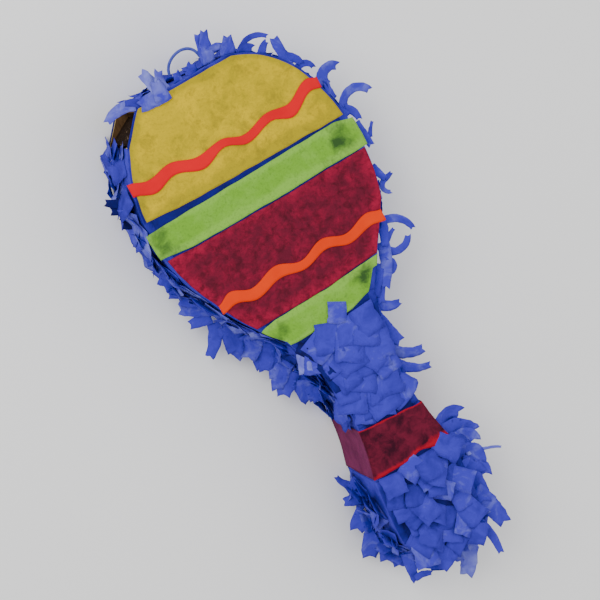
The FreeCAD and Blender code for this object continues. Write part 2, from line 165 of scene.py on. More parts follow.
class Skin:
    """Gathers thin closed sheets into one mesh, with a tone for each point."""

    def __init__(self):
        self.points = []
        self.faces = []
        self.tones = []
        self.rims = []

    def sheet(self, rows, thickness, tone, rims=None):
        height = len(rows)
        width = len(rows[0])
        base = len(self.points)
        normals = []
        for i in range(height):
            for j in range(width):
                down = rows[min(i + 1, height - 1)][j] - rows[max(i - 1, 0)][j]
                across = rows[i][min(j + 1, width - 1)] - rows[i][max(j - 1, 0)]
                normals.append(across.cross(down).normalized())
        flat = [point for row in rows for point in row]
        for half in (0.5, -0.5):
            self.points += [p + n * (thickness * half) for p, n in zip(flat, normals)]
            self.tones += tone if isinstance(tone, list) else [tone] * len(flat)
            self.rims += rims or [0.0] * len(flat)
        under = base + height * width
        for i in range(height - 1):
            for j in range(width - 1):
                a = i * width + j
                quad = (a, a + width, a + width + 1, a + 1)
                self.faces.append(tuple(base + k for k in quad))
                self.faces.append(tuple(under + k for k in reversed(quad)))
        rim = list(range(width))
        rim += [i * width + width - 1 for i in range(1, height)]
        rim += [(height - 1) * width + j for j in range(width - 2, -1, -1)]
        rim += [i * width for i in range(height - 2, 0, -1)]
        for a, b in zip(rim, rim[1:] + rim[:1]):
            self.faces.append((base + a, base + b, under + b, under + a))

    def piece(self, name, material, body="shell", replaces=(), slot=None):
        mesh = bpy.data.meshes.new(name)
        mesh.from_pydata([tuple(p * MM) for p in self.points], [], self.faces)
        for label, values in (("tone", self.tones), ("rim", self.rims)):
            layer = mesh.attributes.new(label, "FLOAT", "POINT")
            layer.data.foreach_set("value", values)
        mesh.shade_smooth()
        mesh.materials.append(material)
        obj = bpy.data.objects.new(name, mesh)
        bpy.context.scene.collection.objects.link(obj)
        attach(obj, body)
        if replaces:
            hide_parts(*replaces)
        return obj


# Materials.

def linear(code):
    """A hex colour as linear RGBA."""
    channels = [int(code[k : k + 2], 16) / 255 for k in (1, 3, 5)]
    return (*[c / 12.92 if c <= 0.04045 else ((c + 0.055) / 1.055) ** 2.4 for c in channels], 1.0)


class Nodes:
    """A material under construction: small helpers that add and link its nodes."""

    def __init__(self, name, roughness=0.85):
        self.material = bpy.data.materials.new(name)
        self.material.use_nodes = True
        self.tree = self.material.node_tree
        self.shader = self.tree.nodes["Principled BSDF"]
        self.shader.inputs["Roughness"].default_value = roughness
        self.shader.inputs["Specular IOR Level"].default_value = 0.06
        self.place = self.add("ShaderNodeTexCoord").outputs["Object"]

    def add(self, kind, **values):
        node = self.tree.nodes.new(kind)
        for key, value in values.items():
            setattr(node, key, value)
        return node

    def link(self, source, target):
        self.tree.links.new(source, target)

    def noise(self, size_mm, detail=3.0, rough_part=0.55, distortion=0.0, stretch=None):
        """A noise from 0 to 1 with features of about that size."""
        node = self.add("ShaderNodeTexNoise")
        node.inputs["Scale"].default_value = 1000.0 / size_mm
        node.inputs["Detail"].default_value = detail
        node.inputs["Roughness"].default_value = rough_part
        node.inputs["Distortion"].default_value = distortion
        place = self.place
        if stretch:
            mapping = self.add("ShaderNodeMapping")
            mapping.inputs["Scale"].default_value = stretch
            self.link(place, mapping.inputs["Vector"])
            place = mapping.outputs["Vector"]
        self.link(place, node.inputs["Vector"])
        return node.outputs["Fac"]

    def spread(self, value, low, high, to_low=0.0, to_high=1.0):
        """The value stretched from one range to another, and held inside it."""
        node = self.add("ShaderNodeMapRange")
        for key, number in (("From Min", low), ("From Max", high), ("To Min", to_low), ("To Max", to_high)):
            node.inputs[key].default_value = number
        self.link(value, node.inputs["Value"])
        return node.outputs["Result"]

    def sums(self, kind, a, b):
        node = self.add("ShaderNodeMath", operation=kind)
        for slot, item in zip(node.inputs, (a, b)):
            if isinstance(item, (int, float)):
                slot.default_value = item
            else:
                self.link(item, slot)
        return node.outputs["Value"]

    def mix(self, factor, a, b):
        """One colour into another by a factor from 0 to 1."""
        node = self.add("ShaderNodeMix", data_type="RGBA")
        self.link(factor, node.inputs["Factor"])
        for key, item in ((6, a), (7, b)):
            if isinstance(item, tuple):
                node.inputs[key].default_value = item
            else:
                self.link(item, node.inputs[key])
        return node.outputs[2]

    def attribute(self, name):
        return self.add("ShaderNodeAttribute", attribute_name=name).outputs["Fac"]

    def finish(self, colour, *bumps):
        """Set the colour, and bumps as pairs of height and depth in millimetres."""
        self.link(colour, self.shader.inputs["Base Color"])
        before = None
        for height, depth_mm in bumps:
            bump = self.add("ShaderNodeBump")
            bump.inputs["Distance"].default_value = depth_mm * MM
            self.link(height, bump.inputs["Height"])
            if before:
                self.link(before, bump.inputs["Normal"])
            before = bump.outputs["Normal"]
        if before:
            self.link(before, self.shader.inputs["Normal"])
        return self.material


def crepe_bumps(m):
    """The fine crepe of tissue and softer crumples over it."""
    fine = m.noise(1.3, 2.0, stretch=(1.0, 0.35, 1.0))
    soft = m.noise(9.0, 4.0, 0.6, 1.5)
    return (fine, 0.25), (soft, 1.2)


def tissue_material(name, dark, deep, main, pale):
    """Dyed tissue: tone -0.5 is a dark painted shade, 0 deep, 0.5 the main colour and 1 the pale single
    layer, painted in place of light shining through it.
    """
    m = Nodes(name, 0.9)
    tone = m.attribute("tone")
    cloud = m.spread(m.noise(16.0, 4.0, 0.6, 0.8), 0.3, 0.7, -0.16, 0.16)
    level = m.sums("ADD", tone, cloud)
    shadow = m.mix(m.spread(level, -0.5, 0.0), linear(dark), linear(deep))
    low = m.mix(m.spread(level, 0.0, 0.5), shadow, linear(main))
    colour = m.mix(m.spread(level, 0.55, 1.0), low, linear(pale))
    return m.finish(colour, *crepe_bumps(m))


def mottled_material(name, main, patch, dark, size, patches, darks):
    """Paper with soft patches of a second colour and darker blotches."""
    m = Nodes(name, 0.88)
    broad = m.noise(size, 6.0, 0.7, 0.3)
    rim = m.attribute("rim")
    patched = m.spread(m.sums("ADD", broad, m.sums("MULTIPLY", rim, 0.3)), *patches)
    colour = m.mix(patched, linear(main), linear(patch))
    blotch = m.noise(size * 0.45, 6.0, 0.7, 0.6)
    tone = m.attribute("tone")
    # Darker blotches from noise, stronger where the listed blots raise the tone.
    dark_blotches = m.spread(m.sums("ADD", blotch, m.sums("MULTIPLY", tone, 0.3)), *darks)
    colour = m.mix(dark_blotches, colour, linear(dark))
    speckle = m.spread(m.noise(2.4, 4.0, 0.7), 0.5, 0.85, 0.0, 0.55)
    colour = m.mix(speckle, colour, linear(dark))
    grain = m.noise(0.9, 2.0)
    return m.finish(colour, (grain, 0.06), (m.noise(14.0, 4.0, 0.6, 1.0), 0.7))


def plain_material(name, main, second, size, roughness=0.85, depth=0.05):
    m = Nodes(name, roughness)
    colour = m.mix(m.spread(m.noise(size, 4.0, 0.6), 0.35, 0.65), linear(main), linear(second))
    return m.finish(colour, (m.noise(0.8, 3.0), depth))


def cardboard_material(name, main, second, flute):
    """Board with its long fibres, faint flute lines and scuffs."""
    m = Nodes(name, 0.9)
    fibres = m.noise(2.2, 5.0, 0.7, 0.3, stretch=(1.0, 0.25, 1.0))
    colour = m.mix(m.spread(fibres, 0.3, 0.7), linear(main), linear(second))
    scuffs = m.spread(m.noise(22.0, 5.0, 0.65, 0.8), 0.55, 0.75, 0.0, 0.5)
    colour = m.mix(scuffs, colour, linear(second))
    wave = m.add("ShaderNodeTexWave", bands_direction="Z")
    wave.inputs["Scale"].default_value = flute
    m.link(m.place, wave.inputs["Vector"])
    return m.finish(colour, (wave.outputs["Fac"], 0.12), (m.noise(1.0, 3.0), 0.05))


BLUE = tissue_material("blue_tissue", "#0B0C2E", "#1F1D78", "#3F3BB8", "#8A90DE")
YELLOW = mottled_material("mustard_paper", "#D2B40C", "#AC981C", "#786C28", 30.0, (0.38, 0.66), (0.50, 0.84))
GREEN = mottled_material("green_paper", "#70A632", "#80B444", "#335228", 26.0, (0.45, 0.7), (0.58, 1.02))
RED = mottled_material("dark_red_paper", "#611A2D", "#9A1A3A", "#461520", 17.0, (0.42, 0.80), (0.46, 0.72))


def band_material():
    """Crimson streamer: dark and mottled in front, bright at its edges, lighter and purplish on the sides as
    painted light.
    """
    m = Nodes("crimson_paper", 0.88)
    cloud = m.spread(m.noise(15.0, 6.0, 0.7, 0.3), 0.38, 0.62)
    front = m.mix(cloud, linear("#361020"), linear("#681A30"))
    # The sides are the same paper in lighter, purplish colours: painted light.
    sides = m.mix(cloud, linear("#5E2044"), linear("#742A52"))
    colour = m.mix(m.attribute("tone"), front, sides)
    bright = m.spread(m.sums("ADD", m.attribute("rim"), m.sums("MULTIPLY", cloud, 0.35)), 0.5, 1.0)
    colour = m.mix(bright, colour, linear("#A31428"))
    return m.finish(colour, (m.noise(0.9, 2.0), 0.06), (m.noise(14.0, 4.0, 0.6, 1.0), 0.9))


BAND = band_material()
RED_FOAM = plain_material("red_foam", "#DC1220", "#D00E1E", 30.0)
ORANGE_FOAM = plain_material("orange_foam", "#E63E06", "#DC3604", 30.0)
BOARD = cardboard_material("cardboard", "#5E452C", "#44301E", 130.0)


def painted_shade_flap_material():
    """The raw back of thin board with pale torn fibres, painted near-black as painted shade for the dark
    inside of the opening.
    """
    m = Nodes("flap_board", 0.95)
    fibres = m.noise(5.0, 6.0, 0.7, 1.5, stretch=(1.0, 1.0, 0.4))
    # The near-black base is painted shade; the pale flecks are torn fibres of the board.
    dark = m.mix(m.spread(fibres, 0.3, 0.6), linear("#120B07"), linear("#2A1C12"))
    colour = m.mix(m.spread(fibres, 0.60, 0.66), dark, linear("#8C7458"))
    return m.finish(colour, (fibres, 1.5))


FLAP_BOARD_PAINTED_SHADE = painted_shade_flap_material()
TAPE = plain_material("masking_tape", "#CDBB8C", "#BFAA76", 12.0)
CORD = plain_material("blue_cord", "#454FA8", "#5A62B8", 3.0, depth=0.2)
BACK_BLUE = tissue_material("blue_tissue_back", "#0E1038", "#1F1F78", "#3A38A8", "#7A80D0")


# Front papers: sheets trimmed to the outline, with wrinkles and slightly uneven edges.

def front_sheet(low, high, level, wrinkle, step=2.2, seed=0.0, inset=0.6, ragged=0.7):
    """Rows of points over a band of the front; low and high give its edges at each x."""
    middle = (low(0) + high(0)) / 2
    rows_up = max(4, round((high(0) - low(0)) / step))
    half = max(abs(edge_x(middle, 1)), abs(edge_x(middle, -1)))
    across = max(8, round(2 * half / step))
    rows = []
    for i in range(rows_up + 1):
        v = i / rows_up
        row = []
        for j in range(across + 1):
            u = j / across
            x = (2 * u - 1) * half
            for _ in range(3):
                y = low(x) + (high(x) - low(x)) * v
                y = min(y, HALF_LENGTH - inset)
                left = edge_x(y, -1) + inset
                right = edge_x(y, 1) - inset
                x = left + (right - left) * u
            fray = Vector((x, y, 0))
            x += rough(fray, 14, seed + 3) * ragged * abs(2 * u - 1) ** 8
            y += rough(fray, 17, seed + 5) * ragged * abs(2 * v - 1) ** 8
            ripple = rough((x, y, 0), 30, seed) + 0.5 * rough((x + y, 2.5 * (y - x), 0), 22, seed + 9)
            over = max(0.0, x - right - inset, left + inset - x)
            z = level + wrinkle * (0.55 + 0.45 * ripple) - 0.05 * over * over
            row.append(Vector((x, y, z)))
        rows.append(row)
    return rows


def straight(height, slope=0.0):
    """An edge across the front: its height at the axis and its rise over 100 mm."""
    return lambda x: height + slope * x / 100


def through(*stations):
    """An edge across the front through stations of x and height."""
    line = [Vector(station) for station in stations]

    def height(x):
        if x <= line[0].x:
            return line[0].y
        for a, b in zip(line, line[1:]):
            if x <= b.x:
                t = (x - a.x) / (b.x - a.x)
                return a.y + (b.y - a.y) * t * t * (3 - 2 * t)
        return line[-1].y

    return height


def edges_of(rows, reach):
    """For each point of the rows, 1 at the sheet's edge and 0 further in than the reach."""
    found = []
    for row in rows:
        for point in row:
            side = min(point.x - row[0].x, row[-1].x - point.x)
            end = min((point - rows[0][0]).y, (rows[-1][0] - point).y)
            found.append(max(0.0, 1.0 - max(0.0, min(side, end)) / reach))
    return found


def blot_at(point, blots):
    """How strongly the dark blots cover a point; a blot is x, y, its radius and its strength."""
    found = 0.0
    for x, y, radius, strength in blots:
        away = math.hypot(point.x - x, point.y - y) / radius
        found += strength * math.exp(-away * away)
    return found


UPPER_BLOTS = [
    (84, 148, 9, 1.6), (96, 158, 9, 1.0), (99, 142, 8, 0.9), (66, 136, 6, 0.6),
    (-110, 158, 9, 1.3), (-113, 143, 8, 1.3), (-99, 139, 6, 0.7),
]
LOWER_BLOTS = [(-49, 17, 7, 1.6), (-58, 13, 5, 0.9), (46, 20, 9, 1.6), (53, 29, 6, 0.9), (30, 27, 6, 0.6)]


def end_to_end(points):
    return (points[-1] - points[0]).length


def path_length(points):
    return sum((b - a).length for a, b in zip(points, points[1:]))


def declare_sheet(rows, measure=end_to_end):
    """Measure the width and length of the flat sheet from its own rows and columns; neither is used."""
    width = max(measure(row) for row in rows)
    length = max(measure(column) for column in zip(*rows))


def front_paper(name, material, slot, low, high, level, wrinkle, reach, rests_on, seed, tone=0.0, blots=(),
                **extra):
    """A paper on the front; its rim darkens or brightens within the reach from its edges."""
    rows = front_sheet(low, high, level, wrinkle, seed=seed, **extra)
    skin = Skin()
    tones = [tone + blot_at(point, blots) for row in rows for point in row]
    skin.sheet(rows, PAPER, tones, edges_of(rows, reach))
    obj = skin.piece(name, material, replaces=[name], slot=slot)
    declare_sheet(rows)
    return obj


YELLOW_LOW = through((-118, 174.5), (-68, 170.8), (-12, 169.6), (44, 169), (98, 168.5))
UPPER_GREEN_HIGH = through((-125, 164), (-63, 164.5), (-19, 165), (38, 165.5), (87, 166.5), (112, 162))
UPPER_GREEN_LOW = through((-125, 137), (-80, 132.5), (-36, 131.5), (20, 131), (67, 132), (112, 131.5))
RED_HIGH = through((-113, 133), (-81, 130.7), (-37, 130), (20, 129.5), (66, 130.5), (108, 130.5))
RED_LOW = through((-71, 31.5), (-34, 31.2), (12, 31), (36, 33), (62, 34.5))
LOWER_GREEN_HIGH = through((-74, 22), (-62, 29), (-52, 30.4), (11, 30.4), (36, 32), (62, 33.5))
LOWER_GREEN_LOW = through((-74, 21), (-52, 1), (-33, 0), (18, -0.5), (45, 6), (58, 24))

BOX_LOW = straight(-HALF_LENGTH + 0.7)
BOX_HIGH = straight(HALF_LENGTH)
# The blue tissue on the front gets tone -0.15: painted shade where it shows in the gaps between papers and
# petals.
front_paper("front_tissue", BLUE, "blue_tissue", BOX_LOW, BOX_HIGH,
            FRONT - 0.2, 0.25, 1, ["front_panel"], 1.0, tone=-0.15, step=4.0)
front_paper("yellow_panel", YELLOW, "mustard_paper", YELLOW_LOW, straight(290), FRONT + 0.4, 0.9, 9,
            ["front_tissue"], 2.0)
front_paper("upper_green_band", GREEN, "green_paper", UPPER_GREEN_LOW, UPPER_GREEN_HIGH, FRONT + 0.4, 0.9, 5,
            ["front_tissue"], 3.0, blots=UPPER_BLOTS, inset=-5.5)
front_paper("red_panel", RED, "dark_red_paper", RED_LOW, RED_HIGH, FRONT + 0.4, 0.9, 14,
            ["front_tissue"], 4.0, inset=-0.8)
front_paper("lower_green_band", GREEN, "green_paper", LOWER_GREEN_LOW, LOWER_GREEN_HIGH, FRONT + 0.5, 0.9, 4,
            ["front_tissue"], 5.0, blots=LOWER_BLOTS, inset=-2.0)


# Waves: crest and dip stations, joined smoothly.

def wave_rows(stations, level, step=2.0, seed=0.0):
    """Rows from the lower to the upper edge; a station is x, its upper and its lower height."""
    rows = [[] for _ in range(6)]
    for (x0, top0, low0), (x1, top1, low1) in zip(stations, stations[1:]):
        count = max(4, round((x1 - x0) / step))
        last = (x1, top1, low1) == stations[-1]
        for k in range(count + (1 if last else 0)):
            part = k / count
            ease = (1 - math.cos(math.pi * part)) / 2
            x = x0 + (x1 - x0) * part
            top = top0 + (top1 - top0) * ease
            low = low0 + (low1 - low0) * ease
            for i, row in enumerate(rows):
                y = low + (top - low) * i / (len(rows) - 1)
                z = level + 0.25 * rough((x, y, 0), 25, seed)
                row.append(Vector((x, y, z)))
    return rows


RED_WAVE = [(-115, 214, 201), (-94, 208, 194), (-71, 212, 200), (-42, 204, 191), (-16, 207, 199),
            (7, 200, 191), (37, 207, 198), (57, 204, 191), (86, 216, 204), (96, 213, 202)]
ORANGE_WAVE = [(-94, 71, 61.5), (-79, 77, 64), (-57, 69, 57), (-28, 76, 63), (-2, 67, 58), (25, 75, 64),
               (50, 67, 56.5), (77, 74, 61), (92, 70, 58)]


def wave_piece(name, stations, material, slot, seed):
    """A foam wave glued on the papers."""
    rows = wave_rows(stations, PAPER_TOP + 1.0, seed=seed)
    skin = Skin()
    skin.sheet(rows, FOAM, 0.5)
    obj = skin.piece(name, material, replaces=[name], slot=slot)
    declare_sheet(rows)
    return obj


wave_piece("red_wave", RED_WAVE, RED_FOAM, "red_foam", 6.0)
wave_piece("orange_wave", ORANGE_WAVE, ORANGE_FOAM, "orange_foam", 7.0)


# Handle band: streamer wrapped over the front and both side walls.

BAND_MIDDLE = -138
BAND_HALF = 25
BAND_ACROSS = 18
BAND_LEG = 21
BAND_FRONT = 38
BAND_LIFT = 2.8

def band_rows():
    """Rows across the band from its lower to its upper edge, each running left to right."""
    low = straight(-162.7, -4.3)
    high = straight(-113.4, -10)
    top = FRONT + BAND_LIFT
    foot = WALL_FOOT + 1.0
    rows = []
    for i in range(BAND_ACROSS + 1):
        v = i / BAND_ACROSS
        row = []
        for side in (-1, 1):
            start = low(40 * side)
            leg = []
            for k in range(BAND_LEG + 1):
                z = foot + (top - 1.2 - foot) * k / BAND_LEG
                y = (start + (high(40 * side) - start) * v) + 0.8 * rough((z, side, 0), 30)
                reach = 2.8 + 0.4 * rough((z, y, 0), 18, 4)
                leg.append(Vector((edge_x(y, side) + side * reach, y, z)))
            if side < 0:
                row += leg
                left = edge_x(BAND_MIDDLE, -1)
                right = edge_x(BAND_MIDDLE, 1)
                for k in range(1, BAND_FRONT):
                    u = k / BAND_FRONT
                    x = left + (right - left) * u
                    y = low(x) + (high(x) - low(x)) * v
                    x = edge_x(y, -1) + (edge_x(y, 1) - edge_x(y, -1)) * u
                    notch = 3.5 * math.exp(-(((x - 12) / 9) ** 2)) * (1 - v) ** 4
                    y += 1.2 * rough((x, 0, 0), 12, 2) * abs(2 * v - 1) ** 6 + notch
                    z = top + 0.5 * rough((x, y, 0), 16, 8) - 0.8 * abs(2 * u - 1) ** 12
                    row.append(Vector((x, y, z)))
            else:
                row += leg[::-1]
        rows.append(row)
    return rows


def band_piece():
    """The streamer; its tone is 1 on the side walls, where it selects the painted light of the sides, and its
    rim is bright along both edges.
    """
    rows = band_rows()
    rims = []
    tones = []
    for i, row in enumerate(rows):
        for point in row:
            v = i / (len(rows) - 1)
            front_side = point.z > FRONT - 1
            reach = 0.06 if v > 0.5 else 0.12 + 0.2 * max(0.0, min(1.0, point.x / 30))
            edge = max(0.0, 1 - min(v, 1 - v) / reach)
            rims.append(edge * 1.1 if front_side else 0.3 * edge)
            # Tone 1 on the side walls selects the painted light of the band's sides.
            tones.append(0.0 if front_side else 1.0)
    skin = Skin()
    skin.sheet(rows, STREAMER, tones, rims)
    obj = skin.piece("handle_band", BAND, replaces=["handle_band"], slot="crimson_paper")
    declare_sheet(rows, path_length)


band_piece()


# Petals and tufts: strips of tissue that follow a line, with a width, a roll and a crumple.

def strip(skin, line, sides, widths, tone, crumple=0.5, across=4, notch=0.0, hug=False):
    """A closed thin strip along a line of points; sides are its unit width directions."""
    seed = RANDOM.uniform(0, 90)
    rows = []
    for k, (point, side, width) in enumerate(zip(line, sides, widths)):
        part = k / (len(line) - 1)
        ahead = (line[min(k + 1, len(line) - 1)] - line[max(k - 1, 0)]).normalized()
        face = ahead.cross(side).normalized()
        row = []
        for j in range(across + 1):
            u = 2 * j / across - 1
            fray = 1 + 0.16 * rough(point, 5, seed + u)
            cut = notch * width * (1 - abs(u)) * part**4 + 0.1 * width * rough((u, seed, 0), 0.6) * part**4
            place = point + side * (u * width / 2 * fray) - ahead * cut
            lift = crumple * (0.3 + part) * rough(place, 7, seed + 3)
            lift += 0.5 * crumple * rough(place, 3.2, seed + 7)
            place = place + face * lift
            row.append(clear_of_box(place) if hug else place)
        rows.append(row)
    shade = [tone + 0.08 * rough(p, 12, seed) for row in rows for p in row]
    skin.sheet(rows, TISSUE, shade)


def petal(skin, root, ahead, side, length, width, lift=0.4, curl=0.6, twist=0.0, tone=0.5, taper=0.0,
          crumple=0.6, segments=6, hug=False):
    """A tissue square from its glued end; it leaves the surface by lift and bends on by curl."""
    face = ahead.cross(side).normalized()
    point = root.copy()
    line = [point.copy()]
    sides = [side.copy()]
    widths = [width]
    for k in range(1, segments + 1):
        part = k / segments
        angle = lift + curl * part * part
        direction = ahead * math.cos(angle) + face * math.sin(angle)
        point = point + direction * (length / segments)
        turn = twist * part
        upright = direction.cross(side).normalized()
        line.append(point.copy())
        sides.append((side * math.cos(turn) + upright * math.sin(turn)).normalized())
        widths.append(width * (1 - taper * part))
    strip(skin, line, sides, widths, tone, crumple, hug=hug)


def tuft(skin, root, heading, length, bend, width, tone, climb=0.0, roll=0.25):
    """A torn, curled strip that leaves its root at a heading and bends evenly, both in degrees."""
    count = max(6, round(length / 3))
    point = Vector(root)
    wave = RANDOM.uniform(0, 6)
    line = []
    sides = []
    widths = []
    for k in range(count + 1):
        part = k / count
        angle = math.radians(heading + bend * part)
        ahead = Vector((math.cos(angle), math.sin(angle), climb)).normalized()
        flat = Vector((-ahead.y, ahead.x, 0)).normalized()
        turn = roll * (1 + 0.8 * math.sin(wave + 5 * part))
        line.append(point.copy())
        sides.append((flat * math.cos(turn) + ahead.cross(flat) * math.sin(turn)).normalized())
        widths.append(width * (1 - 0.4 * part * part))
        point = point + ahead * (length / count)
    strip(skin, line, sides, widths, tone, 1.1, notch=0.25, hug=True)


def wall_strip(skin, indices, tone):
    """Tissue glued on the side wall along part of the outline, turned over the front edge."""
    low = WALL_FOOT + 0.5
    high = FRONT - 0.6
    count = 22
    rows = []
    for i in range(count + 1):
        z = low + (high - low) * i / count
        row = []
        for k in indices:
            spot = OUTLINE[k % COUNT]
            away = outward(k % COUNT)
            crease = rough((spot.x, spot.y, z * 1.6), 13, 6) + 0.5 * rough((spot.x, spot.y, z), 5, 2)
            reach = 1.5 + 0.8 * crease * math.sin(math.pi * i / count)
            row.append(Vector((spot.x + away.x * reach, spot.y + away.y * reach, z)))
        rows.append(row)
    for reach, z in ((1.1, FRONT + 0.1), (0.2, FRONT + 0.3), (-2.0, FRONT + 0.2), (-6.0, FRONT + 0.15)):
        row = []
        for k in indices:
            spot = OUTLINE[k % COUNT]
            away = outward(k % COUNT)
            row.append(Vector((spot.x + away.x * reach, spot.y + away.y * reach, z)))
        rows.append(row)
    shades = []
    for row in rows:
        for p in row:
            # The tissue turned on to the front is 0.3 darker: painted shade along the groove at the front
            # edge.
            turned = 0.3 if p.z > FRONT else 0.0
            shades.append(tone - turned + 0.25 * rough((p.x, p.y, p.z), 25, 3))
    skin.sheet(rows, PAPER, shades)


def region(start, stop):
    """Outline indices from one place to another, counter-clockwise seen from the front."""
    first = nearest(*start)
    last = nearest(*stop)
    if last <= first:
        last += COUNT
    return list(range(first, last + 1))


def wall_petals(skin, indices, count, size, lift, curl, tones, low=10, high=72):
    """Tissue squares at all angles over the side wall, the later ones over the earlier ones."""
    for k in range(count):
        place = indices[0] + (indices[-1] - indices[0]) * ((k * 0.618) % 1)
        index = int(place) % COUNT
        spot = OUTLINE[index]
        away = outward(index).to_3d()
        along = Vector((-away.y, away.x, 0))
        heading = RANDOM.uniform(-math.pi, math.pi)
        ahead = along * math.cos(heading) + Vector((0, 0, 1)) * math.sin(heading)
        side = away.cross(ahead).normalized()
        length = RANDOM.uniform(*size)
        width = RANDOM.uniform(*size) * 0.85
        middle = spot.to_3d() + away * (1.8 + 2.6 * k / count)
        middle.z = low + (high - low) * ((k * 0.7549) % 1)
        if abs(middle.y - BAND_MIDDLE) < BAND_HALF + length / 2:
            continue
        petal(skin, middle - ahead * length / 2, ahead, side, length, width, RANDOM.uniform(*lift),
              RANDOM.uniform(*curl), RANDOM.uniform(-0.4, 0.4), RANDOM.uniform(*tones),
              RANDOM.uniform(-0.15, 0.3), 1.2, hug=True)


EXIT_LOW = (-95.5, 241.5)
EXIT_HIGH = (-70, 271)
REGIONS = {
    "crown_fringe": ((86, 225), EXIT_HIGH),
    "head_left_fringe": (EXIT_LOW, (-50, 5)),
    "neck_left_fringe": ((-50, 5), (-29, -108)),
    "knob_left_fringe": ((-40, -165), (-44, -236)),
    "knob_end_fringe": ((-44, -236), (43, -236)),
    "knob_right_fringe": ((43, -236), (45, -168)),
    "neck_right_fringe": ((35.5, -115), (48, 5)),
    "head_right_fringe": ((48, 5), (86, 225)),
}
PETAL_STYLE = {
    "crown_fringe": dict(count=26, size=(16, 24), lift=(0.0, 0.15), curl=(0.0, 0.3), tones=(0.25, 0.55)),
    "head_left_fringe": dict(count=84, size=(20, 34), lift=(0.0, 0.25), curl=(0.0, 0.4), tones=(0.3, 0.75)),
    "neck_left_fringe": dict(count=40, size=(20, 32), lift=(0.0, 0.35), curl=(0.0, 0.4), tones=(0.25, 0.7)),
    "knob_left_fringe": dict(count=40, size=(20, 30), lift=(0.05, 0.5), curl=(0.0, 0.5), tones=(0.25, 0.65)),
    "knob_end_fringe": dict(count=50, size=(18, 27), lift=(0.1, 0.7), curl=(-0.1, 0.8), tones=(0.2, 0.7)),
    "knob_right_fringe": dict(count=34, size=(18, 26), lift=(0.1, 0.7), curl=(-0.1, 0.8), tones=(0.2, 0.7)),
    "neck_right_fringe": dict(count=36, size=(16, 25), lift=(0.0, 0.4), curl=(-0.1, 0.6), tones=(0.2, 0.7)),
    "head_right_fringe": dict(count=60, size=(16, 24), lift=(0.0, 0.15), curl=(0.0, 0.2), tones=(0.2, 0.7)),
}

# Tufts that stand out from the walls: for each fringe the height of the roots and how the tufts climb,
# then the root of each tuft, its heading, length, bend, width and tone.
CROWN_TUFTS = [
    (13, 273, 80, 32, -15, 14, 0.6), (10, 274, 85, 30, -10, 10, 0.55), (15, 281, 35, 18, -85, 9, 0.6),
    (32, 270, 65, 20, 0, 16, 0.6), (42, 266, 55, 38, -110, 7, 0.35), (44, 265, 40, 15, -100, 12, 0.3),
    (84, 233, 110, 33, -25, 13, 0.5), (80, 242, -15, 19, -80, 10, 0.4), (85, 226, 40, 22, -140, 8, 0.4),
    (62, 256, 60, 14, -50, 9, 0.4), (-5, 271, 100, 12, -60, 12, 0.4), (-22, 271, 70, 12, 30, 11, 0.5),
]
CORNER_TUFTS = [
    (-71, 275, 158, 34, 55, 12, 0.7), (-46, 274, 95, 26, 25, 14, 0.8), (-40, 272, 100, 22, -50, 13, 0.75),
    (-66, 273, 140, 16, 25, 8, 0.3),
]
HEAD_RIGHT_TUFTS = [
    (103, 199, 100, 32, -155, 14, 0.55), (106, 184, 105, 22, -35, 8, 0.55),
    (110, 163, 105, 50, -180, 12, 0.55),
    (109, 171, -30, 20, -75, 9, 0.45), (113, 154, -85, 28, 5, 10, 0.5), (120, 134, 70, 16, -35, 5, 0.45),
    (107, 109, -75, 20, 15, 9, 0.5), (113, 91, 10, 10, 15, 7, 0.35), (113, 91, -160, 20, 165, 6, 0.6),
    (93, 56, -8, 34, -80, 9, 0.55), (91, 61, -100, 30, -25, 11, 0.5), (80, 31, -55, 34, 125, 10, 0.45),
    (83, 32, 55, 20, -35, 6, 0.5), (82, 38, -105, 46, -25, 13, 0.6), (71, 8, -15, 27, 195, 5, 0.4),
    (75, 23, -80, 17, -65, 10, 0.95), (69, 21, -130, 34, 10, 10, 0.4), (62, 5, -130, 22, 25, 11, 0.55),
]
NECK_RIGHT_TUFTS = [
    (47, -11, -55, 27, 65, 12, 0.55), (39, -12, -85, 48, 20, 17, 0.5), (34, -35, -85, 27, 55, 15, 0.4),
    (31, -47, -70, 50, 70, 15, 0.6), (31, -61, -75, 52, 70, 13, 0.55), (36, -81, -88, 25, 5, 10, 0.4),
]
KNOB_RIGHT_TUFTS = [
    (45, -160, 85, 36, -150, 20, 0.45), (46, -164, 15, 34, -90, 24, 0.5), (50, -178, 45, 30, -150, 20, 0.6),
    (56, -194, -5, 38, -30, 4, 0.75), (46, -190, 25, 36, -150, 19, 0.5), (46, -206, 10, 30, -120, 20, 0.55),
    (48, -216, -75, 32, -30, 22, 0.45), (45, -230, -68, 50, -15, 22, 0.55), (35, -261, -70, 42, -30, 10, 0.5),
    (44, -172, -20, 22, -60, 22, 0.3), (46, -200, -40, 26, -30, 22, 0.35),
]
KNOB_END_TUFTS = [
    (19, -273, -95, 45, -40, 22, 0.75), (4, -274, 180, 26, -20, 12, 0.4), (-19, -266, -130, 18, 0, 8, 0.4),
    (-42, -255, -105, 33, 15, 12, 0.5), (-47, -282, 0, 20, -40, 8, 0.5), (-26, -266, 175, 19, 0, 10, 0.5),
]
KNOB_LEFT_TUFTS = [
    (-42, -177, 170, 30, -80, 9, 0.35), (-51, -189, 165, 18, 0, 13, 0.4), (-52, -205, -150, 24, 20, 22, 0.5),
    (-51, -228, -140, 33, 25, 23, 0.55), (-42, -244, -130, 28, 10, 21, 0.55),
    (-34, -257, -130, 26, 10, 19, 0.5),
    (-44, -171, 200, 14, 20, 12, 0.4),
]
